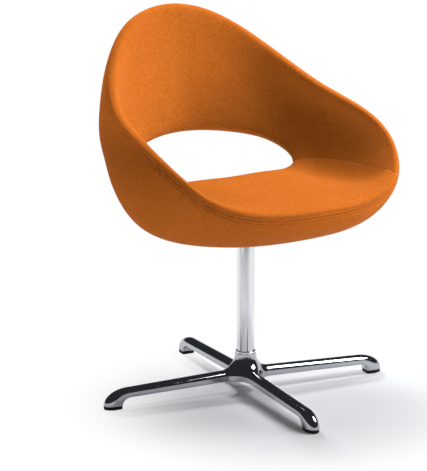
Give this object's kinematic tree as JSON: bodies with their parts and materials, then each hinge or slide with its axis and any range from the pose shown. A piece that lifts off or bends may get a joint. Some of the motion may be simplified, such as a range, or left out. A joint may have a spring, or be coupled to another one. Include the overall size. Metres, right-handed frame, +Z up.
{
  "type": "pedestal swivel armchair",
  "caption": "Low-armed swivel chair: a felt-covered ring shell with an open lower back on a chrome column and a polished cross base with turned-down feet.",
  "frame": {"origin": "on the floor, on the swivel axis of the column", "axes": "+Z up along the swivel axis; the sitter faces -Y; +X is to the left hand of a sitter who faces -Y"},
  "size_m": [0.655, 0.6653, 0.7957],
  "materials": {
    "base_metal": "polished",
    "column_chrome": "polished",
    "glide_black": "satin black",
    "bush_bronze": "sintered, dull",
    "washer_black": "dull",
    "fixing_steel": "zinc plated",
    "frame_paint": "black powder coat",
    "board_wood": "raw plywood",
    "foam": "open-cell moulded foam",
    "felt": "wool felt, fulled, orange",
    "base_cloth": "black base cloth, flat weave"
  },
  "bodies": {
    "base": {"star_base": "base_metal", "glide_front": "glide_black", "glide_right": "glide_black", "glide_rear": "glide_black", "glide_left": "glide_black", "column_tube": "column_chrome", "column_collar": "column_chrome", "foot_plug": "fixing_steel", "base_bolt": "fixing_steel", "base_washer": "fixing_steel", "lower_bush": "bush_bronze", "upper_bush": "bush_bronze", "thrust_washer": "washer_black"},
    "seat": {"swivel_spindle": "fixing_steel", "retaining_washer": "fixing_steel", "retaining_ring": "fixing_steel", "seat_hub": "frame_paint", "seat_plate": "frame_paint", "plate_bolts": "fixing_steel", "plate_washers": "fixing_steel", "base_board": "board_wood", "t_nuts": "fixing_steel", "rail_screws": "fixing_steel", "seat_rails": "frame_paint", "rim_tube": "frame_paint", "opening_tube": "frame_paint", "back_struts": "frame_paint", "seat_foam": "foam", "back_foam": "foam", "seat_cover": "felt", "back_cover": "felt", "front_cover": "felt", "outer_cover": "felt", "under_cover": "base_cloth"}
  },
  "joints": [
    {"name": "seat_swivel", "type": "hinge", "parent": "base", "child": "seat", "pos_m": [0, 0, 0], "axis": [0, 0, 1], "continuous": true}
  ]
}
